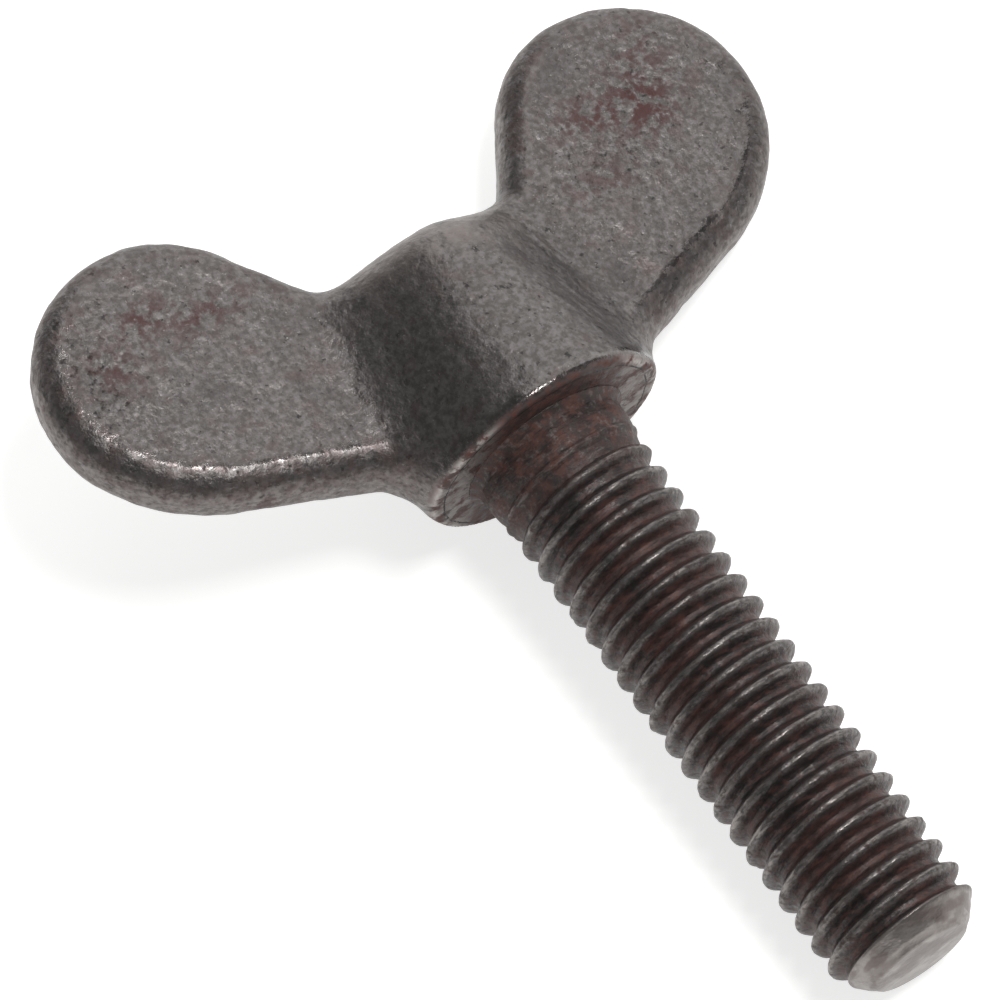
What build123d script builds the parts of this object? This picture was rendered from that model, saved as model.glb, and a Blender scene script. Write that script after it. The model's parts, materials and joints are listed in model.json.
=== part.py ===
from build123d import *
import os
from math import cos, radians, sin, tan

# Wing screw: one steel forging with a thumb head of two wings, a flat seat under
# the hub, a short neck and a threaded shank. Sizes are millimetres and degrees.
#
# The screw is drawn upright in a working frame. Z runs along the shank with the
# seat at Z = 0, the hub and wings rise above it and the wings spread along X.
# At the end it is laid down on the three points that it comes to rest on.

# Shank. The thread is M6 x 1, and its length is a plain cylinder over the crests.
thread_diameter = 5.92
thread_length = 20.5
neck_diameter = 6.04
neck_length = 1.3
neck_flare_length = 0.45
runout_length = 0.9
bevel_length = 0.8
end_face_diameter = 4.1

# Hub: a round core, drafted towards a soft crown, standing on the seat.
hub_foot_diameter = 9.76
hub_height = 8.9
hub_draft = 10.3
crown_round = 1.7
seat_rim_bevel = 0.4

# Wings: each outline runs from its root under the belly, round the lobe, which
# tightens towards its top, and down into the notch beside the crown. Runs are
# lengths, and turns are angles of arcs.
wing_thickness = 2.8
wing_edge_round = 1.17
root_half_width = 3.0
root_height = 0.53
belly_rise = 19.7
belly_length = 8.2
belly_radius = 7.2
belly_turn = 40.0
lobe_radius = 5.19
lobe_turn = 118.4
lobe_top_radius = 4.76
lobe_top_turn = 58.3
notch_length = 2.9
notch_radius = 4.3
blend_radius = 1.8

# The head is blended with spare stock below the seat, which is then faced off.
facing_stock = 3.0

# Points and edges closer than this count as touching.
touching_distance = 0.001

hub_foot = hub_foot_diameter / 2
neck = neck_diameter / 2
thread = thread_diameter / 2
end_face = end_face_diameter / 2
half_wing = wing_thickness / 2
thread_top = -neck_length - runout_length
thread_bottom = thread_top - thread_length
tip = thread_bottom - bevel_length


def wing_lines():
    """The +X wing's outline, as lines and arcs on the XZ plane, from its root to X = 0."""
    heading = belly_rise + belly_turn + lobe_turn + lobe_top_turn
    belly = PolarLine((root_half_width, root_height), belly_length, belly_rise)
    bend = JernArc(belly @ 1, belly % 1, belly_radius, belly_turn)
    lobe = JernArc(bend @ 1, bend % 1, lobe_radius, lobe_turn)
    top = JernArc(lobe @ 1, lobe % 1, lobe_top_radius, lobe_top_turn)
    descent = PolarLine(top @ 1, notch_length, heading)
    notch = JernArc(descent @ 1, descent % 1, notch_radius, 180 - heading)
    web = Line(notch @ 1, (0, (notch @ 1).Y))
    return [belly, bend, lobe, top, descent, notch, web]


def wing_pair():
    """Both wings and the web between them: one plate with rounded margins."""
    lines = wing_lines()
    with BuildSketch(Plane.XZ) as outline:
        with BuildLine():
            add(lines)
            Polyline(lines[-1] @ 1, (0, root_height), lines[0] @ 0)
        make_face()
        mirror(about=Plane.YZ)
    plate = extrude(outline.sketch, amount=half_wing, both=True)
    margins = [edge for edge in plate.edges() if abs(edge.center().Y) > half_wing - touching_distance]
    return fillet(margins, wing_edge_round)


def hub_core():
    """The drafted hub with its rounded crown, carried on below the seat."""
    spread = tan(radians(hub_draft))
    with BuildSketch(Plane.XZ) as section:
        with BuildLine():
            Polyline(
                (0, -facing_stock),
                (hub_foot + spread * facing_stock, -facing_stock),
                (hub_foot - spread * hub_height, hub_height),
                (0, hub_height),
                close=True,
            )
        make_face()
    core = revolve(section.sketch, Axis.Z)
    rim = core.edges().filter_by(GeomType.CIRCLE).sort_by(Axis.Z)[-1]
    return fillet(rim, crown_round)


def meeting_edges(joined, first, second):
    """Edges of a union along which the surfaces of its two parts meet."""
    found = []
    for edge in joined.edges():
        middle = edge @ 0.5
        on_faces = [min(face.distance_to(middle) for face in part.faces()) for part in (first, second)]
        on_edges = [min(own.distance_to(middle) for own in part.edges()) for part in (first, second)]
        if max(on_faces) < touching_distance < min(on_edges):
            found.append(edge)
    return found


def head():
    """Wings and hub blended into one another, then faced off flat at the seat."""
    wings = wing_pair()
    core = hub_core()
    joined = wings + core
    blended = fillet(meeting_edges(joined, wings, core), blend_radius)
    stock = Box(2 * hub_foot_diameter, 2 * hub_foot_diameter, 2 * facing_stock)
    faced = blended - Pos(0, 0, -facing_stock) * stock
    seat = faced.faces().sort_by(Axis.Z)[0]
    return chamfer(seat.outer_wire().edges(), seat_rim_bevel)


def shank():
    """Neck with its flare, run-out, threaded length, bevel and end, turned about Z."""
    inside_hub = hub_height / 2
    with BuildSketch(Plane.XZ) as section:
        with BuildLine():
            Polyline(
                (0, inside_hub),
                (neck + neck_flare_length, inside_hub),
                (neck + neck_flare_length, 0),
                (neck, -neck_flare_length),
                (neck, -neck_length),
                (thread, thread_top),
                (thread, thread_bottom),
                (end_face, tip),
                (0, tip),
                close=True,
            )
        make_face()
    return revolve(section.sketch, Axis.Z)


def lowest_point(centre, normal, ring, tube, down):
    """Lowest point of a ring of round bar: its centre, its axis, its two radii."""
    across = down - normal * down.dot(normal)
    return centre + across.normalized() * ring + down * tube


def resting_plane():
    """Floor under the screw, which lies on its hub's rim, the thread's end and one lobe.

    Each of the three turns about a known centre, so the point where it touches
    depends only on which way is down. Starting from a guess of down, the plane
    through the three points gives a better one, until it no longer changes.
    """
    z_axis = Vector(0, 0, 1)
    y_axis = Vector(0, 1, 0)
    draft = radians(hub_draft)
    rim_centre = Vector(0, 0, seat_rim_bevel * cos(draft))
    rim_ring = hub_foot - seat_rim_bevel * sin(draft)
    end_centre = Vector(0, 0, thread_bottom)
    arc_centre = wing_lines()[2].arc_center
    lobe_centre = Vector(arc_centre.X, half_wing - wing_edge_round, arc_centre.Y)
    lobe_ring = lobe_radius - wing_edge_round
    down = Vector(0.2, 1, 0).normalized()
    for _ in range(60):
        rim = lowest_point(rim_centre, z_axis, rim_ring, 0, down)
        end = lowest_point(end_centre, z_axis, thread, 0, down)
        lobe = lowest_point(lobe_centre, y_axis, lobe_ring, wing_edge_round, down)
        down = (lobe - rim).cross(end - rim).normalized()
    return Plane(origin=rim, x_dir=end - rim, z_dir=down * -1)


floor = resting_plane()
laid = floor.to_local_coords(head() + shank())
box = laid.bounding_box()
to_origin = Pos(-box.center().X, -box.center().Y, -box.min.Z)
screw = to_origin * laid


def in_place(x, y, z):
    """A point of the working frame, where it is once the screw is laid down."""
    return to_origin * Pos(floor.to_local_coords(Vector(x, y, z)))


print("size", screw.bounding_box().size, "volume", screw.volume)
print("rest height", box.min.Z, "axis", (in_place(0, 0, tip).position - in_place(0, 0, 0).position).normalized())
print("seat centre", in_place(0, 0, 0).position, "seat top", in_place(0, -(neck + hub_foot) / 2, 0).position)
print("thread middle", in_place(0, 0, (thread_top + thread_bottom) / 2).position)

os.makedirs("parts", exist_ok=True)
export_step(screw, "parts/wing_screw.step")
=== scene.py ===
# %% [markdown]
# # A forged wing screw
#
# A wing screw is turned by thumb and finger. This one is a single drop forging: two
# round wings, a conical hub with a flat seat under it, a short neck and a threaded
# shank. The screw lies on the floor as it would come to rest.

import json
from math import asin, atan2, cos, degrees, pi, radians, sin, tan

import bpy
import numpy as np
from mathutils import Matrix, Vector


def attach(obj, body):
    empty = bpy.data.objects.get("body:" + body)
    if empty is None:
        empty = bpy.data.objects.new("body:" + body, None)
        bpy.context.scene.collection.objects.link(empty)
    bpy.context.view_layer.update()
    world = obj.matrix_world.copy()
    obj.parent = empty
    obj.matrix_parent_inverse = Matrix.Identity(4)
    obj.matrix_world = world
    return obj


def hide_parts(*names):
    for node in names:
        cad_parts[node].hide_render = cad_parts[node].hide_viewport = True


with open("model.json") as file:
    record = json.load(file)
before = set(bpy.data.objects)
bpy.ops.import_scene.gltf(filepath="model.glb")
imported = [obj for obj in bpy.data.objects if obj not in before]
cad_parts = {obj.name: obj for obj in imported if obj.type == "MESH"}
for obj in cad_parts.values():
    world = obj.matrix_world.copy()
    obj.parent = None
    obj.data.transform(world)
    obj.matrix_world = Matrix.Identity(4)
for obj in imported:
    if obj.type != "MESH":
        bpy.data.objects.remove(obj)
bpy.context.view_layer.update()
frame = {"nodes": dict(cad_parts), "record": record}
NODE = "wing_screw"
MM = 1000.0

# %% [markdown]
# ## A working frame
#
# Round things are easiest to describe upright. The record's two mounts say how the
# screw lies: the thread's axis, the middle of its length, and a point of the seat
# right in front of the axis. They give a working frame in millimetres. Its Z runs
# up the axis from the seat through the hub, X goes across the wings, and Y goes
# through their thickness, from front to back.

# %% Axes of the working frame
mounts = {mount["name"]: mount for mount in frame["record"]["mounts"]}
thread_mount, seat_mount = mounts["thread"], mounts["seat"]
THREAD_RADIUS = thread_mount["dims"]["r_mm"]
THREAD_LENGTH = thread_mount["dims"]["length_mm"]
# The full thread starts 2.2 mm under the seat, past the neck and the run-out.
THREAD_TOP = -2.2
THREAD_END = THREAD_TOP - THREAD_LENGTH

tipward = np.array(thread_mount["axis"], float)
tipward /= np.linalg.norm(tipward)
thread_middle = np.array(thread_mount["pos_m"], float) * MM
seat_centre = thread_middle + tipward * (THREAD_TOP + THREAD_END) / 2
front = np.array(seat_mount["pos_m"], float) * MM - seat_centre
front -= tipward * front.dot(tipward)
front /= np.linalg.norm(front)
# Rows are the working X, Y and Z axes, written in the frame of the model.
AXES = np.array([np.cross(front, tipward), -front, -tipward])


def to_model(points):
    """Working points in mm to model points in metres: turn by the axes, then move."""
    return (points @ AXES + seat_centre) / MM


def to_work(points):
    """Model points in metres to working points in mm: the same steps undone."""
    return (points * MM - seat_centre) @ AXES.T


print("axis dips by", round(degrees(asin(-tipward[2])), 2), "degrees")

# %% [markdown]
# ## The wings' outline
#
# Each wing is a plate with a tangent chain of lines and arcs for its outline: under
# the belly, round the lobe, and down into the notch beside the crown. A filled curve
# could draw it, but its margins and blends would then need edges to bevel. A signed
# distance, negative inside, describes the same shape with no mesh at all: the nearest
# line or arc gives the distance, and the side that a point lies on gives the sign.

# %% Lines and arcs of one wing
ROOT_HALF_WIDTH, ROOT_HEIGHT = 3.0, 0.53
BELLY_RISE, BELLY_LENGTH = 19.7, 8.2
BELLY_RADIUS, BELLY_TURN = 7.2, 40.0
LOBE_RADIUS, LOBE_TURN = 5.19, 118.4
LOBE_TOP_RADIUS, LOBE_TOP_TURN = 4.76, 58.3
NOTCH_LENGTH, NOTCH_RADIUS = 2.9, 4.3
# The web between the wings is followed past the middle, where |x| ends it.
WEB_LENGTH = 12.0


def chain_of_wing():
    """The +X wing's outline as (start, heading, length, radius, turn), in order.

    A line has a length and no turn. An arc turns left for a positive angle. Each
    starts where the last one ended, with the same heading, so all are tangent.
    """
    over = BELLY_RISE + BELLY_TURN + LOBE_TURN + LOBE_TOP_TURN
    steps = [
        (BELLY_LENGTH + ROOT_HALF_WIDTH / cos(radians(BELLY_RISE)), 0, 0),
        (0, BELLY_RADIUS, BELLY_TURN),
        (0, LOBE_RADIUS, LOBE_TURN),
        (0, LOBE_TOP_RADIUS, LOBE_TOP_TURN),
        (NOTCH_LENGTH, 0, 0),
        (0, NOTCH_RADIUS, 180 - over),
        (WEB_LENGTH, 0, 0),
    ]
    place = np.array([0, ROOT_HEIGHT - ROOT_HALF_WIDTH * tan(radians(BELLY_RISE))])
    heading = radians(BELLY_RISE)
    chain = []
    for length, radius, turn in steps:
        angle = radians(turn)
        chain.append((place, heading, length, radius, angle))
        if radius:
            side = np.sign(angle)
            centre = place + side * radius * np.array([-sin(heading), cos(heading)])
            heading += angle
            place = centre - side * radius * np.array([-sin(heading), cos(heading)])
        else:
            place = place + length * np.array([cos(heading), sin(heading)])
    return chain


CHAIN = chain_of_wing()
print("web height", round(CHAIN[-1][0][1], 2), "mm")


# %% Distance to the outline
def outline_distance(x, z):
    """Signed distance to the wings' outline, for arrays of |x| and z.

    A line's distance is measured square to it, or to its end. An arc's distance is
    the gap between its radius and the point's, or the distance to its nearer end.
    """
    best = np.full(x.shape, np.inf)
    signed = np.zeros(x.shape)
    for place, heading, length, radius, angle in CHAIN:
        along = np.array([cos(heading), sin(heading)])
        left = np.array([-sin(heading), cos(heading)])
        dx, dz = x - place[0], z - place[1]
        if radius:
            side = np.sign(angle)
            cx, cz = dx - side * radius * left[0], dz - side * radius * left[1]
            reach = np.hypot(cx, cz)
            # Angle travelled from the arc's start, measured the way that it turns.
            started = atan2(-side * left[1], -side * left[0])
            travelled = (side * (np.arctan2(cz, cx) - started)) % (2 * pi)
            middle = abs(angle) / 2
            beyond = np.abs((travelled - middle + pi) % (2 * pi) - pi) > middle
            late = travelled > middle + pi
            stop = np.where(beyond & ~late, abs(angle), np.where(beyond, 0, travelled))
            ex = radius * np.cos(started + side * stop)
            ez = radius * np.sin(started + side * stop)
            distance = np.hypot(cx - ex, cz - ez)
            inside = side * (radius - reach) > 0
        else:
            t = np.clip(dx * along[0] + dz * along[1], 0, length)
            distance = np.hypot(dx - t * along[0], dz - t * along[1])
            inside = dx * left[0] + dz * left[1] > 0
        nearer = distance < best
        signed = np.where(nearer, np.where(inside, -distance, distance), signed)
        best = np.minimum(best, distance)
    return signed


across, up = np.meshgrid(np.linspace(0, 20, 401), np.linspace(0, 20, 401))
in_wing = outline_distance(across, up) < 0
wing_reach, wing_top = (round(float(side[in_wing].max()), 2) for side in (across, up))
print("a wing reaches", wing_reach, "mm out and", wing_top, "mm up")


# %% [markdown]
# ## The head as one formula
#
# In the die, hot steel flows into every corner softly, so hub and wings run into one
# another with no line between them. The edges of a union could be bevelled, but four
# such bevels meet round each wing's root and would tear there. A round union of two
# distances can't tear: outside the corner it is the smaller one, and within the
# blend's radius it follows a quarter circle. A round cut is its mirror image, for the
# margins of the wings, the crown and the seat's rim.

# %% Distance to the forged head
WING_HALF, MARGIN = 1.4, 1.17
HUB_FOOT, HUB_HEIGHT, HUB_DRAFT = 4.88, 8.9, 10.3
CROWN_ROUND, SEAT_ROUND, BLEND = 1.7, 0.4, 1.85


def round_union(a, b, radius):
    """Smaller of two distances, with a hollow quarter circle between them."""
    inner = np.hypot(np.maximum(radius - a, 0), np.maximum(radius - b, 0))
    return np.maximum(radius, np.minimum(a, b)) - inner


def round_cut(a, b, radius):
    """Larger of two distances, with a full quarter circle between them."""
    outer = np.hypot(np.maximum(a + radius, 0), np.maximum(b + radius, 0))
    return np.minimum(-radius, np.maximum(a, b)) + outer


def wing_distance(x, y, z):
    """Distance to both wings: a plate of the outline, with its margins rounded."""
    return round_cut(outline_distance(np.abs(x), z), np.abs(y) - WING_HALF, MARGIN)


def hub_distance(x, y, z):
    """Distance to the hub: a drafted cone, cut by its flat top with a soft crown."""
    slope = radians(HUB_DRAFT)
    side = (np.hypot(x, y) - HUB_FOOT + z * tan(slope)) * cos(slope)
    return round_cut(side, z - HUB_HEIGHT, CROWN_ROUND)


def head_distance(points):
    """Distance to the whole head: wings and hub blended, then faced off at the seat."""
    x, y, z = points.T
    blended = round_union(wing_distance(x, y, z), hub_distance(x, y, z), BLEND)
    return round_cut(blended, -z, SEAT_ROUND)


up_the_axis = np.linspace([0, 0, 0], [0, 0, 12], 1201)
in_head = up_the_axis[head_distance(up_the_axis) < 0]
print("the crown is", round(float(in_head.max()), 2), "mm above the seat")


# %% [markdown]
# ## A skin of small squares
#
# A formula has no faces yet. The CAD node's own mesh is near the formula
# everywhere, so a copy of it, cut off at the seat and remeshed into even squares,
# gives points to start from. Smoothing takes out the small stairs that a remesh
# leaves. Each point then walks down the formula's slope until its distance is
# nothing. The same walk could start from a sphere, but it would crowd its points at
# the wing roots.

# %% Cut and remesh a copy of the CAD node
SKIN_STEP = 0.15
WELD_GAP = 0.0005
# The block that cuts the shank off at the seat: half its width and its depth.
BLOCK_REACH, BLOCK_DEPTH = 30.0, 60.0


def points_of(mesh):
    """All vertices of a mesh as one array with three columns."""
    flat = np.empty(len(mesh.vertices) * 3)
    mesh.vertices.foreach_get("co", flat)
    return flat.reshape(-1, 3)


def set_points(mesh, points):
    """Puts an array of points back into a mesh."""
    mesh.vertices.foreach_set("co", np.ascontiguousarray(points, float).ravel())
    mesh.update()


def applied(obj, kind, **settings):
    """Adds one modifier to an object, sets it, and keeps its result as the mesh."""
    modifier = obj.modifiers.new(kind, kind)
    for name, value in settings.items():
        setattr(modifier, name, value)
    scene_now = bpy.context.evaluated_depsgraph_get()
    result = bpy.data.meshes.new_from_object(obj.evaluated_get(scene_now))
    obj.modifiers.clear()
    obj.data = result


def new_object(name, mesh):
    """A new object for a mesh, linked to the scene."""
    obj = bpy.data.objects.new(name, mesh)
    bpy.context.scene.collection.objects.link(obj)
    return obj


screw = new_object("forged_wing_screw", frame["nodes"][NODE].data.copy())
set_points(screw.data, to_work(points_of(screw.data)))
applied(screw, "WELD", merge_threshold=WELD_GAP)

cutter = bpy.data.meshes.new("below_the_seat")
across = (-BLOCK_REACH, BLOCK_REACH)
corners = [(x, y, z) for z in (-BLOCK_DEPTH, 0.0) for y in across for x in across]
sides = [(0, 2, 3, 1), (4, 5, 7, 6), (0, 1, 5, 4), (2, 6, 7, 3), (0, 4, 6, 2), (1, 3, 7, 5)]
cutter.from_pydata(corners, [], sides)
cutting = new_object("cutting_block", cutter)
applied(screw, "BOOLEAN", operation="DIFFERENCE", solver="EXACT", object=cutting)
bpy.data.objects.remove(cutting)
applied(screw, "REMESH", mode="VOXEL", voxel_size=SKIN_STEP, adaptivity=0.0)
applied(screw, "SMOOTH", factor=0.5, iterations=3)
print("head skin:", len(screw.data.vertices), "points")


# %% Walk the points onto the formula
# No step is longer than LONGEST_STEP mm. Where the formula is flat, its squared slope
# counts as LEAST_SLOPE, which keeps the step short too.
WALK_STEPS, LONGEST_STEP, LEAST_SLOPE = 5, 0.3, 0.05


def slope_of(distance, points, step=0.01):
    """Gradient of a distance by central differences along the three axes."""
    shifts = np.eye(3) * step
    return np.stack(
        [(distance(points + s) - distance(points - s)) / (2 * step) for s in shifts], axis=1
    )


skin = points_of(screw.data)
for _ in range(WALK_STEPS):
    slope = slope_of(head_distance, skin)
    slope_squared = np.maximum((slope**2).sum(1), LEAST_SLOPE)
    move = head_distance(skin) / slope_squared
    skin -= np.clip(move, -LONGEST_STEP, LONGEST_STEP)[:, None] * slope
print("largest distance left, mm:", round(float(np.abs(head_distance(skin)).max()), 4))


# %% [markdown]
# ## Marks of the forge
#
# No forged face is quite flat. Scale is beaten into it, and years in a toolbox add
# knocks. A Displace modifier could push the skin by a texture. A sum of waves with
# random directions is as smooth, and its depth is known in millimetres: a few
# hundredths, and only inwards.

# %% Push the skin by smooth random waves
chance = np.random.default_rng(7)
MEAN_PUSH, DEEPEST_PUSH = 0.03, 0.12
# Each set of waves: its length and its depth in mm, and how many waves it has.
FORGE_WAVES = [(5.0, 0.018, 24), (1.6, 0.008, 24), (0.7, 0.007, 40)]
# The seat is faced off true. The push starts from nothing there and is whole up here.
PUSH_WHOLE_AT = 0.8


def random_waves(points, wavelength, count):
    """Sum of sine waves of about one wavelength, with random headings and phases."""
    headings = chance.normal(size=(count, 3))
    headings /= np.linalg.norm(headings, axis=1)[:, None]
    lengths = wavelength * chance.uniform(0.7, 1.4, count)
    phases = chance.uniform(0, 2 * pi, count)
    waves = np.sin(points @ (headings / lengths[:, None]).T * 2 * pi + phases)
    return waves.sum(1) / np.sqrt(count / 2)


normal = slope_of(head_distance, skin)
normal /= np.linalg.norm(normal, axis=1)[:, None]
push = MEAN_PUSH
for wavelength, deep, count in FORGE_WAVES:
    push = push + deep * random_waves(skin, wavelength, count)
push = np.clip(push, 0, DEEPEST_PUSH) * np.clip(skin[:, 2] / PUSH_WHOLE_AT, 0, 1)
skin -= push[:, None] * normal
set_points(screw.data, skin)
print("deepest mark, mm:", round(float(push.max()), 3))

# %% [markdown]
# ## The threaded shank
#
# The thread is a right-hand M6 x 1. A die cut it from a blank with a bevelled end, so
# the blank's own radius limits it, which leaves the ragged last turn. The Screw
# modifier could carry one tooth up the shank, but it can't let the groove fade out
# at both ends. So the shank is one surface of turning: rings of points down the axis,
# with a radius that depends on the height and on the angle round. The V rises to a
# crest once a pitch, and the crest climbs one pitch a turn.

# %% Radius of blank and thread
PITCH, THREAD_DEPTH, CREST_FLAT = 1.0, 0.47, 0.18
HALF_V = radians(30)
CREST_SOFT, ROOT_SOFT = 0.12, 0.14
# Where the crest lies round the axis, as a height at angle 0.
PHASE = -0.394
# The groove starts as a scratch, gets most of its depth in the run-out and the rest
# by the height where the die's full teeth cut.
RUNOUT_TOP, RUNOUT_FOOT, FULL_TEETH = -0.8, -3.3, -9.0
SCRATCH, IN_RUNOUT, IN_FULL_TEETH = 0.01, 0.78, 0.21
NECK_RADIUS, NECK_FLARE, NECK_FOOT = 3.02, 0.45, -1.2
# The flare's quarter circle stops just short of lying flat on the seat.
FLARE_SHARE = 0.93
BEVEL, BEVEL_SOFT, END_RADIUS, END_DOME = 1.2, 0.2, 1.9, 0.1
TIP = -23.5
TIP_WORN = 0.3


def soft_min(a, b, width):
    """Smaller of two values, with the corner between them rounded over a width."""
    gap = np.clip(0.5 + 0.5 * (b - a) / width, 0, 1)
    return b + (a - b) * gap - width * gap * (1 - gap)


def fade_in(values, start, end):
    """0 at start, 1 at end and beyond, with no corner at either."""
    share = np.clip((values - start) / (end - start), 0, 1)
    return share * share * (3 - 2 * share)


def thread_fall(z, angle):
    """Depth below the crests: flanks of 60 degrees between soft crest and soft root.

    The teeth at the mouth of a die are cut back, so near where it stopped, the
    groove grows shallower and its crests stay. At the tip it is worn away.
    """
    turn = (z - PHASE) / PITCH - angle / (2 * pi)
    from_crest = np.abs(turn - np.round(turn)) * PITCH
    flank = (from_crest - CREST_FLAT / 2) / tan(HALF_V)
    share = IN_RUNOUT * fade_in(z, RUNOUT_TOP, RUNOUT_FOOT)
    share += IN_FULL_TEETH * fade_in(z, RUNOUT_TOP, FULL_TEETH)
    share = SCRATCH + share * fade_in(z, TIP + TIP_WORN, TIP + BEVEL)
    flank = -soft_min(-flank, 0.0, CREST_SOFT)
    return soft_min(flank, THREAD_DEPTH * share, ROOT_SOFT * share)


def shank_radius(z, angle):
    """Radius of the shank: neck with its flare, thread and bevel in one formula."""
    flare = np.clip((z + NECK_FLARE) / NECK_FLARE, 0, FLARE_SHARE)
    neck = NECK_RADIUS + NECK_FLARE * (1 - np.sqrt(1 - flare**2))
    over_crests = neck + (THREAD_RADIUS - neck) * fade_in(z, NECK_FOOT, THREAD_TOP)
    bevel = END_RADIUS + (z - TIP) * (THREAD_RADIUS - END_RADIUS) / BEVEL
    return soft_min(over_crests - thread_fall(z, angle), bevel, BEVEL_SOFT)


one_turn = shank_radius(np.linspace(-15.5, -14.5, 201), 0.0)
print("thread from", round(2 * one_turn.min(), 2), "to", round(2 * one_turn.max(), 2), "mm across")


# %% Mesh of the shank
COLUMNS = 120
RINGS_A_PITCH = 18
FACE_RINGS = 14
# The end's dome falls by the square of the radius, in end radii, up to DOME_LIMIT. It
# has faded out DOME_FADE mm up the bevel.
DOME_FADE, DOME_LIMIT = 0.35, 1.2
angles = np.arange(COLUMNS) * 2 * pi / COLUMNS
in_hub = [2.0, 0.5]
down_neck = np.linspace(-0.03, -1.3, 20)
down_thread = np.arange(-1.36, THREAD_END + 0.5, -PITCH / RINGS_A_PITCH)
down_bevel = np.linspace(THREAD_END + 0.45, TIP, 30)
heights = np.concatenate([in_hub, down_neck, down_thread, down_bevel])
ring_z, ring_angle = np.meshgrid(heights, angles, indexing="ij")
ring_r = shank_radius(ring_z, ring_angle)
# Rings of the end face, which is a low dome worn by use.
inward = np.linspace(1, 0, FACE_RINGS + 2)[1:-1, None]
ring_z = np.vstack([ring_z, np.zeros((FACE_RINGS, COLUMNS)) + TIP])
ring_r = np.vstack([ring_r, ring_r[-1] * inward])
ring_angle = np.vstack([ring_angle, np.tile(angles, (FACE_RINGS, 1))])
dome = END_DOME * (np.minimum(ring_r / END_RADIUS, DOME_LIMIT) ** 2)
ring_z = ring_z + dome * np.clip((TIP + DOME_FADE - ring_z) / DOME_FADE, 0, 1)
rows = len(ring_r)
rings = np.stack([ring_r * np.cos(ring_angle), ring_r * np.sin(ring_angle), ring_z], axis=-1)
rings = rings.reshape(-1, 3)
print("shank:", rows, "rings of", COLUMNS, "points")

# %% Wear on the shank
# A fine unevenness all over, and knocks that reach only the crests, in mm.
MEAN_WEAR, WEAR_WAVES, DEEPEST_WEAR = 0.012, 0.006, 0.03
KNOCK_LEVEL, KNOCK_HIGHEST, KNOCK_DEPTH = 0.7, 1.2, 0.05
uneven = np.clip(MEAN_WEAR + WEAR_WAVES * random_waves(rings, 0.7, 40), 0, DEEPEST_WEAR)
knocks = np.clip(random_waves(rings, 1.6, 40) - KNOCK_LEVEL, 0, KNOCK_HIGHEST) * KNOCK_DEPTH
ring_radius = np.hypot(rings[:, 0], rings[:, 1])
worn = uneven + knocks * fade_in(THREAD_RADIUS - ring_radius, 0.2, 0.02)
# It leaves the joint with the hub and the end face alone.
worn *= fade_in(rings[:, 2], -0.1, -0.6) * fade_in(rings[:, 2], TIP + 0.05, TIP + TIP_WORN)
rings[:, :2] *= (1 - worn / np.maximum(ring_radius, 1.0))[:, None]
print("deepest wear, mm:", round(float(worn.max()), 3))

# %% Faces of the shank
poles = np.array([[0, 0, heights[0]], [0, 0, TIP]])
index = np.arange(rows * COLUMNS).reshape(rows, COLUMNS)
after = np.roll(index, -1, axis=1)
quads = np.stack([index[:-1], index[1:], after[1:], after[:-1]], axis=-1).reshape(-1, 4)
top_pole, end_pole = np.full((2, COLUMNS), [[rows * COLUMNS], [rows * COLUMNS + 1]])
fan_top = np.stack([top_pole, index[0], after[0]], axis=-1)
fan_end = np.stack([end_pole, after[-1], index[-1]], axis=-1)
faces = quads.tolist() + fan_top.tolist() + fan_end.tolist()
shank_mesh = bpy.data.meshes.new("threaded_shank")
shank_mesh.from_pydata(np.vstack([rings, poles]).tolist(), [], faces)
shank = new_object("threaded_shank", shank_mesh)
print("shank:", len(faces), "faces")

# %% [markdown]
# ## One forging
#
# Head and shank were one piece of steel from the start. Two meshes pushed into one
# another would leave a hard line and hidden faces, so they become one skin: a union
# of the two closed skins removes the stub inside the hub and joins the surfaces where
# the neck flares into the seat.

# %% Join head and shank
applied(screw, "BOOLEAN", operation="UNION", solver="MANIFOLD", object=shank)
bpy.data.objects.remove(shank)
body = screw.data
body.name = "forged_wing_screw"
points = points_of(body)
triangles = sum(len(face.vertices) - 2 for face in body.polygons)
print("joined:", len(points), "points,", triangles, "triangles")

# %% [markdown]
# ## What the finish needs to know
#
# Rust sits where nothing rubs, and bare steel shows where fingers and tools do. A
# painted map could say where, but the skin would have to be laid out flat for it. So
# each point carries a few numbers from 0 to 1 that the material reads: how deep it
# is in the thread, how close to the seat, how much it is rubbed, and how likely it
# is to hold a blotch of rust.

# %% Zones of the screw
# Each fade runs from the first of its two places to the second, in mm.
ROOT_REACH = 4.2
x, y, z = points.T
radius = np.hypot(x, y)
below_crest = THREAD_RADIUS - radius
from_margin = -outline_distance(np.abs(x), z)
on_wing = fade_in(np.abs(x), ROOT_REACH, 5.7)
on_shank = fade_in(z, 0.0, -0.3)
in_thread = fade_in(z, RUNOUT_TOP, THREAD_TOP - 0.6)
at_tip = fade_in(z, TIP + BEVEL - 0.05, TIP + BEVEL - 0.35)
on_seat = fade_in(z, 0.26, 0.0) * (radius > NECK_RADIUS) * (radius < HUB_FOOT + 0.3)
# Handling rubs the shoulders of the wings and the rim of the seat.
shoulder = fade_in(from_margin, 0.85, 0.97) * fade_in(from_margin, 1.3, 1.15) * on_wing
rim = fade_in(z, -0.05, 0.1) * fade_in(z, 0.7, 0.4) * (radius > ROOT_REACH) * (1 - on_wing)
rubbed = shoulder + rim
print("points on the wings:", int(on_wing.sum()), "and on the shank:", int(on_shank.sum()))

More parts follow.
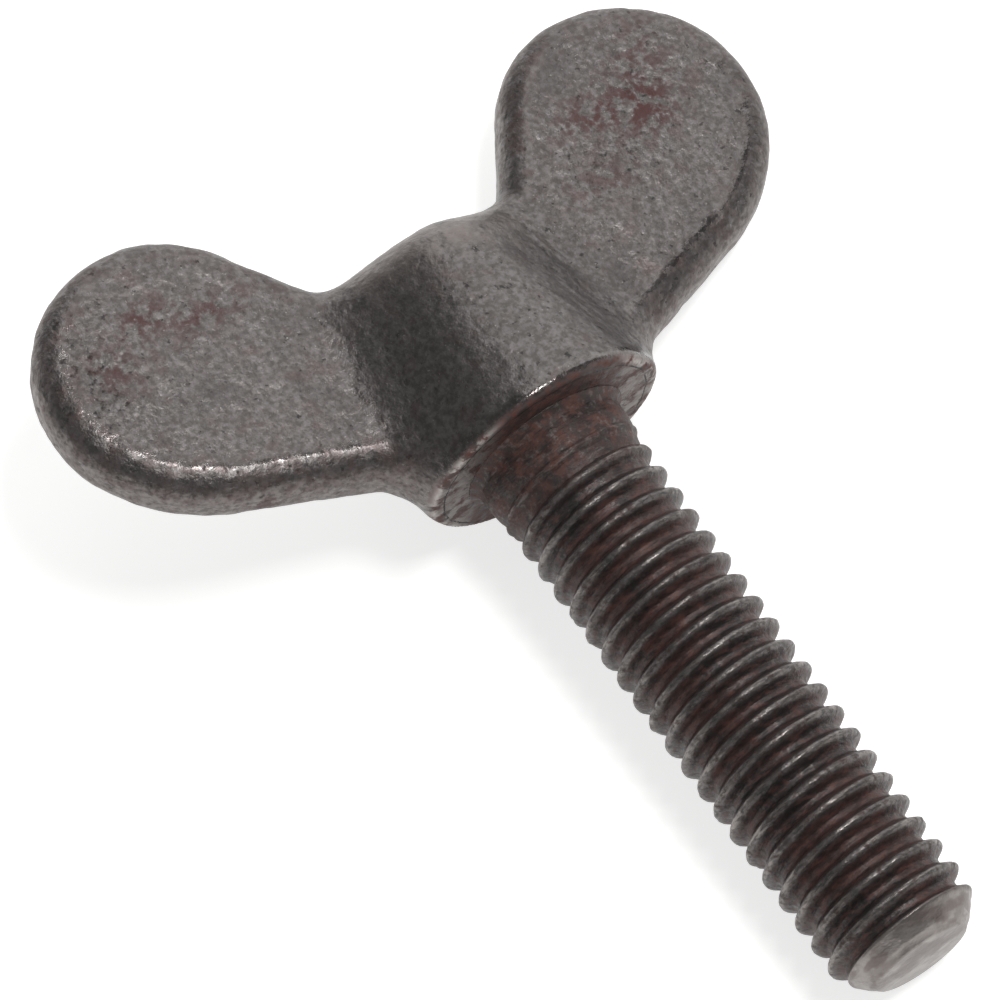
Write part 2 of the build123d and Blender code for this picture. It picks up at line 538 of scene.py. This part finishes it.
# %% Blotches of rust and pits on the wings
# Each spot: the X and Z of its middle, its spread along both in mm, and its strength.
RUST_SPOTS = [
    (10.7, 9.2, 1.3, 1.2, 1.0),
    (8.6, 9.9, 1.6, 1.0, 0.8),
    (7.4, 7.4, 1.8, 0.8, 0.5),
    (-10.3, 11.0, 1.1, 0.8, 0.85),
    (-8.2, 10.0, 1.4, 0.7, 0.75),
    (-12.4, 9.7, 1.0, 1.0, 0.7),
    (-10.5, 2.9, 0.9, 0.3, 0.75),
    (11.6, 11.2, 1.2, 1.2, 0.6),
]
PIT_SPOTS = [(-13.2, 9.8, 1.3, 2.8, 1.0), (8.5, 7.9, 1.7, 1.3, 0.8), (10.6, 10.0, 1.3, 1.3, 0.6)]
# A little rust may sit anywhere on the wings, and more of it near their margins.
RUST_ANYWHERE, RUST_AT_MARGIN = 0.05, 0.2


def cover(spots):
    """Sum of soft hills: strength times e to the minus squared distance, in spreads."""
    total = np.zeros(x.shape)
    for cx, cz, spread_x, spread_z, strength in spots:
        total += strength * np.exp(-(((x - cx) / spread_x) ** 2) - ((z - cz) / spread_z) ** 2)
    return total


rust = cover(RUST_SPOTS) + RUST_AT_MARGIN * fade_in(from_margin, 1.6, 0.6) + RUST_ANYWHERE
print("most rust:", round(float((rust * on_wing).max()), 2))

# %% Numbers on the points
stored = {
    "rubbed": rubbed,
    "groove": fade_in(below_crest, 0.05, 0.3) * in_thread * (1 - at_tip),
    "crest": fade_in(below_crest, 0.08, 0.02) * in_thread * (1 - at_tip),
    "neck": fade_in(z, 0.02, -0.02) * (1 - fade_in(z, -1.4, -3.4)),
    "tip": at_tip,
    "shank": on_shank,
    "off_shank": (1 - 0.7 * on_shank) * (1 - 0.8 * rubbed),
    "seat": on_seat,
    "seat_ends": on_seat * fade_in(np.abs(x), 2.2, 3.4),
    # On the outermost margin of the wings a paler colour is painted as a reflection of the floor.
    "edge": fade_in(from_margin, 0.35, 0.05) * on_wing,
    "crown": fade_in(z, 6.0, 7.6) * fade_in(np.abs(x), 4.4, 2.6),
    "stains": np.clip(rust, 0, 1) * on_wing,
    "pitted": np.clip(cover(PIT_SPOTS), 0, 1) * on_wing,
    "grooved": on_shank * (1 - 0.7 * at_tip),
}
for name, values in stored.items():
    attribute = body.attributes.new(name, "FLOAT", "POINT")
    attribute.data.foreach_set("value", np.ascontiguousarray(values, np.float32))
    print(name, "covers", round(float(np.mean(values > 0.5)) * 100, 1), "% of the points")

# %% [markdown]
# ## Laid down on the floor
#
# The upright screw goes back to where the CAD has it. It could be turned as an object,
# but a piece stays at the origin and keeps its place in its mesh, so its points are
# turned. Light runs smoothly over the skin, and only edges sharper than 50 degrees
# break it. The one piece then stands for the CAD node.

# %% Place the screw
SHARP_ANGLE = 50
set_points(body, to_model(points))
# The union leaves the materials that its faces had before. There is only one now.
for leftover in [a.name for a in body.attributes if a.name.startswith("material_index")]:
    body.attributes.remove(body.attributes[leftover])
body.shade_smooth()
body.set_sharp_from_angle(angle=radians(SHARP_ANGLE))
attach(screw, "root")
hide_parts(NODE)
print("lowest point, mm:", round(float(points_of(body)[:, 2].min()) * MM, 4))

# %% [markdown]
# ## The finish: forged carbon steel with oxide and a little rust
#
# The steel came from the hammer with a thin grey oxide, was tumbled clean, and then
# aged. It gives the eye a dull metal shine broken by a grain of about 0.3 mm, dark
# oil and rust in the thread, and brighter metal on the crests and the tip. A picture
# wrapped round the screw could show that, but it would stretch at the wing roots.
# Noise that is worked out in millimetres from each point's own place has no seams.

# %% One helper for every node
def linear(hex_colour):
    """sRGB hex to linear colour: each channel by the sRGB curve, with alpha 1."""
    channels = [int(hex_colour[i : i + 2], 16) / 255 for i in (1, 3, 5)]
    return [c / 12.92 if c <= 0.04045 else ((c + 0.055) / 1.055) ** 2.4 for c in channels] + [1]


def add(tree, kind, inputs, out=0, **settings):
    """Adds one node with its settings and gives one of its outputs.

    Inputs go by name or number, and each is a socket to link, a hex or a value.
    """
    node = tree.nodes.new("ShaderNode" + kind)
    for name, value in settings.items():
        setattr(node, name, value)
    for key, value in inputs.items():
        if isinstance(value, bpy.types.NodeSocket):
            tree.links.new(value, node.inputs[key])
        else:
            node.inputs[key].default_value = linear(value) if isinstance(value, str) else value
    return node.outputs[out] if node.outputs else node


print("a mid grey of #808080 is", round(linear("#808080")[0], 3), "as light")


# %% Where the patterns lie
steel = bpy.data.materials.new("forged_carbon_steel_rusted")
steel.use_nodes = True
tree = steel.node_tree
shader = tree.nodes["Principled BSDF"]
# Object coordinates turned into the working frame, in mm.
upright = {
    "Vector": add(tree, "TexCoord", {}, "Object"),
    "Location": (AXES @ -seat_centre).tolist(),
    "Rotation": Matrix(AXES.tolist()).to_euler(),
    "Scale": (MM, MM, MM),
}
in_work = add(tree, "Mapping", upright)
# The same, drawn out round the axis, for marks that run with the thread.
DRAWN_OUT = (0.45, 0.45, 1.6)
along = add(tree, "VectorMath", {0: in_work, 1: DRAWN_OUT}, operation="MULTIPLY")

# Each pattern: the vector it reads, its grain in mm, its detail and its roughness.
patterns = {
    "grain": (in_work, 0.34, 5.0, 0.6),
    "mottle": (in_work, 0.24, 4.0, 0.6),
    "speck": (in_work, 0.1, 1.0, 0.5),
    "clouds": (in_work, 2.4, 4.0, 0.6),
    "patches": (in_work, 0.8, 5.0, 0.65),
    "blots": (in_work, 0.55, 5.0, 0.65),
    "dents": (in_work, 0.75, 2.0, 0.5),
    "marks": (along, 0.33, 4.0, 0.65),
    "streaks": (along, 0.22, 3.0, 0.6),
    "smears": (along, 0.9, 3.0, 0.6),
}
# Each is cut from another place of the noise, so that no two of them line up.
APART = (17.0, 5.0, 0.0)
seen = {}
for number, (name, (where, grain_mm, detail, rough)) in enumerate(patterns.items()):
    shift = [number * step for step in APART]
    moved = add(tree, "VectorMath", {0: where, 1: shift}, operation="ADD")
    settings = {"Vector": moved, "Scale": 1 / grain_mm, "Detail": detail, "Roughness": rough}
    seen[name] = add(tree, "TexNoise", settings)
print(len(seen), "patterns, from", min(p[1] for p in patterns.values()), "mm up")

# %% Layers of the finish, from the bare oxide up
# Each layer has a name, then where it shows: the stored number that it needs, if any,
# its pattern, the two levels between which it comes up, and how much shows at most.
# Last comes what it is: its colour, how much of a metal and how rough. A layer with
# no colour is the same surface, only rubbed smoother.
BARE_OXIDE = ("#5a5755", 1.0, 0.42)
layers = [
    ("light oxide", None, "mottle", 0.36, 0.66, 1.0, "#736f6e", 1.0, 0.35),
    ("dark clouds", None, "clouds", 0.5, 0.68, 0.45, "#524f4e", 1.0, 0.4),
    ("faint rust", None, "patches", 0.52, 0.68, 0.5, "#5c4f4c", 0.95, 0.42),
    ("pits", None, "grain", 0.39, 0.32, 0.7, "#2b2928", 0.8, 0.6),
    ("deep pits", "pitted", "grain", 0.46, 0.38, 0.7, "#2a2726", 0.8, 0.6),
    ("glitter", None, "speck", 0.7, 0.8, 0.6, "#a09c99", 1.0, 0.3),
    # A paler patch is painted on the crown of the hub.
    ("paler crown", "crown", "patches", 0.36, 0.5, 0.7, "#7d7673", 1.0, 0.36),
    # The wings' outermost margin is painted paler: a painted reflection of the floor.
    ("painted margin reflection", "edge", "mottle", 0.3, 0.64, 0.6, "#847c79", 0.9, 0.4),
    ("rubbed corners", "rubbed", "grain", 0.38, 0.46, 0.95, None, 1.0, 0.13),
    ("dark seat", "seat", "mottle", 0.2, 0.4, 1.0, "#463a37", 0.5, 0.5),
    ("seat rust", "seat", "blots", 0.42, 0.56, 0.85, "#65392f", 0.1, 0.75),
    ("pale seat", "seat_ends", "patches", 0.42, 0.52, 0.9, "#b8b2ae", 0.9, 0.42),
    ("dark flanks", "groove", "mottle", 0.1, 0.3, 1.0, "#413d3c", 0.7, 0.4),
    ("grey flanks", "groove", "mottle", 0.5, 0.64, 0.6, "#65605e", 0.9, 0.36),
    ("brown flanks", "groove", "clouds", 0.42, 0.58, 0.7, "#4a332e", 0.3, 0.5),
    ("brown streaks", "groove", "streaks", 0.5, 0.62, 0.7, "#5c3d36", 0.2, 0.55),
    ("dark neck", "neck", "mottle", 0.1, 0.3, 1.0, "#3d3533", 0.5, 0.55),
    ("neck rust", "neck", "blots", 0.42, 0.62, 0.85, "#5a372e", 0.1, 0.7),
    ("neck specks", "neck", "mottle", 0.5, 0.7, 0.5, "#7a7471", 0.8, 0.42),
    ("bright crests", "crest", "marks", 0.49, 0.6, 0.85, "#847e7a", 1.0, 0.26),
    ("dark specks", "shank", "streaks", 0.46, 0.36, 0.55, "#2c2928", 0.6, 0.5),
    ("red grit", "shank", "grain", 0.46, 0.38, 0.55, "#3d2724", 0.3, 0.6),
    ("bare tip", "tip", "smears", 0.2, 0.4, 1.0, "#7d7774", 1.0, 0.34),
    ("cloudy tip", "tip", "patches", 0.42, 0.62, 0.7, "#999490", 1.0, 0.34),
    ("tip specks", "tip", "smears", 0.5, 0.62, 0.6, "#625754", 0.8, 0.4),
    ("stains", "stains", "blots", 0.45, 0.57, 0.92, "#4b2421", 0.05, 0.68),
]
# A Mix node takes its two colours at sockets 6 and 7 and gives the mixed one at
# output 2. Its two plain values go in at 2 and 3.
colour, metallic, roughness = BARE_OXIDE
for name, number, pattern, low, high, most, tint, metal, rough in layers:
    levels = {"Value": seen[pattern], "From Min": low, "From Max": high, "To Max": most}
    shows = add(tree, "MapRange", levels, interpolation_type="SMOOTHSTEP", label=name)
    if number:
        needed = add(tree, "Attribute", {}, "Fac", attribute_name=number)
        shows = add(tree, "Math", {0: shows, 1: needed}, operation="MULTIPLY")
    if tint:
        colour = add(tree, "Mix", {0: shows, 6: colour, 7: tint}, 2, data_type="RGBA")
    metallic = add(tree, "Mix", {0: shows, 2: metallic, 3: metal}, data_type="FLOAT")
    roughness = add(tree, "Mix", {0: shows, 2: roughness, 3: rough}, data_type="FLOAT")
print(len(layers), "layers")

# %% The fold on the seat
# A thin dark fold left by the die runs round the seat just inside its rim: a ring of
# one radius that wanders with a pattern and is broken by another.
FOLD_RADIUS, FOLD_HALF_WIDTH, FOLD_WANDER = 4.5, 0.035, 0.25
flat = add(tree, "VectorMath", {0: in_work, 1: (1, 1, 0)}, operation="MULTIPLY")
out_from_axis = add(tree, "VectorMath", {0: flat}, "Value", operation="LENGTH")
wander = {0: seen["patches"], 1: FOLD_WANDER, 2: out_from_axis}
wander = add(tree, "Math", wander, operation="MULTIPLY_ADD")
fold = add(tree, "Math", {0: wander, 1: FOLD_RADIUS, 2: FOLD_HALF_WIDTH}, operation="COMPARE")
broken = add(tree, "MapRange", {"Value": seen["marks"], "From Min": 0.4, "From Max": 0.5})
needed = add(tree, "Attribute", {}, "Fac", attribute_name="seat")
for limit in (broken, needed):
    fold = add(tree, "Math", {0: fold, 1: limit}, operation="MULTIPLY")
colour = add(tree, "Mix", {0: fold, 6: colour, 7: "#1c1817"}, 2, data_type="RGBA")
tree.links.new(colour, shader.inputs["Base Color"])
tree.links.new(metallic, shader.inputs["Metallic"])
tree.links.new(roughness, shader.inputs["Roughness"])
print("fold of", 2 * FOLD_HALF_WIDTH, "mm at", FOLD_RADIUS, "mm from the axis")

# %% Relief too fine for the mesh
# Each relief: its pattern, its depth in mm, and the number that says where it is. The
# shape itself is in the mesh, and this is only its grain.
reliefs = [
    ("dents", 0.065, "off_shank"),
    ("grain", 0.05, "off_shank"),
    ("grain", 0.08, "pitted"),
    ("speck", 0.006, None),
    ("marks", 0.05, "grooved"),
    ("streaks", 0.025, "grooved"),
]
relief = None
for pattern, deep_mm, number in reliefs:
    bump = {"Height": seen[pattern], "Distance": deep_mm / MM}
    if number:
        bump["Strength"] = add(tree, "Attribute", {}, "Fac", attribute_name=number)
    if relief:
        bump["Normal"] = relief
    relief = add(tree, "Bump", bump)
tree.links.new(relief, shader.inputs["Normal"])
body.materials.clear()
body.materials.append(steel)
print("steel:", len(tree.nodes), "nodes")

# %% [markdown]
# ## Floor, lamps and camera
#
# The screw lies on a plain pale floor. The floor looks white to the camera and to
# the metal, and still takes the object's shadow. Metal is what it mirrors, so the
# lamps matter as much as the steel. Many soft lamps would show it evenly grey. One
# tall softbox on one side leaves dark flanks, and one small lamp overhead draws a
# thin glint along the rubbed corners, which shows how round they are. The camera
# looks down on the front, with the tip tilted a little towards it.

# %% Floor and world
FLOOR_REACH = 0.6
# Strength of the light that seems to come from the floor, from the horizon and from
# the sky, where 1 is white.
FLOOR_GLOW, HORIZON, SKY = 0.7, 0.7, 0.27
# The sine of the height at which the horizon has faded into the sky, 17 degrees up.
HORIZON_TOP = 0.3

floor_mesh = bpy.data.meshes.new("floor")
sides = (-FLOOR_REACH, FLOOR_REACH)
floor_mesh.from_pydata([(a, b, 0) for b in sides for a in sides], [], [(0, 1, 3, 2)])
floor = new_object("floor", floor_mesh)
paper = bpy.data.materials.new("white_paper_floor")
paper.use_nodes = True
ground = paper.node_tree
ground.nodes.clear()
shows = 0.0
for way in ("Is Camera Ray", "Is Glossy Ray", "Is Transmission Ray"):
    this_way = add(ground, "LightPath", {}, way)
    shows = add(ground, "Math", {0: this_way, 1: shows}, operation="MAXIMUM")
matt = add(ground, "BsdfDiffuse", {"Color": "#cfcfcd"})
glow = add(ground, "Emission", {"Color": "#ffffff", "Strength": FLOOR_GLOW})
lit = add(ground, "AddShader", {0: matt, 1: glow})
paper_look = add(ground, "MixShader", {0: shows, 1: matt, 2: lit})
add(ground, "OutputMaterial", {"Surface": paper_look})
floor_mesh.materials.append(paper)

world = bpy.data.worlds.new("studio")
bpy.context.scene.world = world
world.use_nodes = True
air = world.node_tree
air.nodes.clear()
# The paper curves up behind: seen in the metal, it fades into the room's dim sky.
upward = add(air, "SeparateXYZ", {0: add(air, "TexCoord", {}, "Generated")}, "Z")
level = {"Value": upward, "From Max": HORIZON_TOP, "To Min": HORIZON, "To Max": SKY}
level = add(air, "MapRange", level, interpolation_type="SMOOTHSTEP")
dim = add(air, "Background", {"Color": "#ffffff", "Strength": level})
white = add(air, "Background", {"Color": "#ffffff", "Strength": 1.0})
sky = add(air, "MixShader", {0: add(air, "LightPath", {}, "Is Camera Ray"), 1: dim, 2: white})
add(air, "OutputWorld", {"Surface": sky})
print("floor", 2 * FLOOR_REACH, "m wide, sky at", SKY)


# %% Lamps
LAMP_DISTANCE = 0.8
WINDOW_AZIMUTH, WINDOW_WIDTH, WINDOW_HEIGHT, WINDOW_RADIANCE = 135.5, 1.06, 2.4, 1.13
SPOT_AZIMUTH, SPOT_ELEVATION = 62, 69
SPOT_SIZE, SPOT_RADIANCE = (0.2, 0.15), 32.0


def softbox(name, place, facing, width, height, radiance):
    """A rectangular lamp at a place in metres, facing along a direction.

    An area lamp of power P and area A has a radiance of P / (pi A), so the power is
    worked out from the radiance that the metal should mirror.
    """
    lamp = bpy.data.lights.new(name, "AREA")
    lamp.shape = "RECTANGLE"
    lamp.size, lamp.size_y = width, height
    lamp.energy = radiance * pi * width * height
    obj = bpy.data.objects.new(name, lamp)
    bpy.context.scene.collection.objects.link(obj)
    back = -Vector(facing).normalized()
    across = Vector((0, 0, 1)).cross(back).normalized()
    turn = Matrix((across, back.cross(across), back)).transposed()
    obj.matrix_world = Matrix.Translation(place) @ turn.to_4x4()


def towards(azimuth, elevation):
    """Direction for an azimuth from +X and an elevation above the floor."""
    azimuth, elevation = radians(azimuth), radians(elevation)
    flat = cos(elevation)
    return Vector((flat * cos(azimuth), flat * sin(azimuth), sin(elevation)))


window = towards(WINDOW_AZIMUTH, 0) * LAMP_DISTANCE
raised = window + Vector((0, 0, WINDOW_HEIGHT / 2))
softbox("tall_window_softbox", raised, -window, WINDOW_WIDTH, WINDOW_HEIGHT, WINDOW_RADIANCE)
spot = towards(SPOT_AZIMUTH, SPOT_ELEVATION) * LAMP_DISTANCE
softbox("small_overhead_softbox", spot, -spot, *SPOT_SIZE, SPOT_RADIANCE)
print("window at", WINDOW_AZIMUTH, "degrees, spot at", (SPOT_AZIMUTH, SPOT_ELEVATION))

# %% Camera
# The camera's distance from the seat and its place beside and below that line, in mm.
CAMERA_DISTANCE, CAMERA_ASIDE = 254.98, (-1.626, -1.983)
LENS, SENSOR = 255.85, 36.0
# How far the axis tilts towards the camera, how far the wings are rolled about it, and
# how far it is turned in the picture, in degrees.
VIEW_TILT, VIEW_ROLL, PICTURE_TURN = 18.38, 22.6, 53.92
tilt, roll, turn = (radians(a) for a in (VIEW_TILT, VIEW_ROLL, PICTURE_TURN))
# The screw's tipward axis, its side and the rest, as the camera sees them.
seen_axis = np.array([cos(tilt) * cos(turn), -cos(tilt) * sin(turn), sin(tilt)])
seen_side = np.array([sin(turn), cos(turn), 0])
seen_face = np.array([-sin(tilt) * cos(turn), sin(tilt) * sin(turn), cos(tilt)])
seen_x = cos(roll) * seen_side - sin(roll) * seen_face
seen_y = -(cos(roll) * seen_face + sin(roll) * seen_side)
camera_axes = np.stack([seen_x, seen_y, -seen_axis], axis=1) @ AXES
camera_data = bpy.data.cameras.new("camera")
camera_data.lens, camera_data.sensor_width = LENS, SENSOR
camera_data.clip_start, camera_data.clip_end = 0.02, 5.0
camera = bpy.data.objects.new("camera", camera_data)
bpy.context.scene.collection.objects.link(camera)
away = np.array([*CAMERA_ASIDE, CAMERA_DISTANCE]) @ camera_axes
standpoint = (seat_centre + away) / MM
camera.matrix_world = Matrix.Translation(standpoint) @ Matrix(camera_axes.T.tolist()).to_4x4()
bpy.context.scene.camera = camera
bpy.context.scene.view_settings.view_transform = "Standard"
print("camera looks down by", round(degrees(asin(camera_axes[2][2])), 1), "degrees")

# %% The end
bpy.context.view_layer.update()
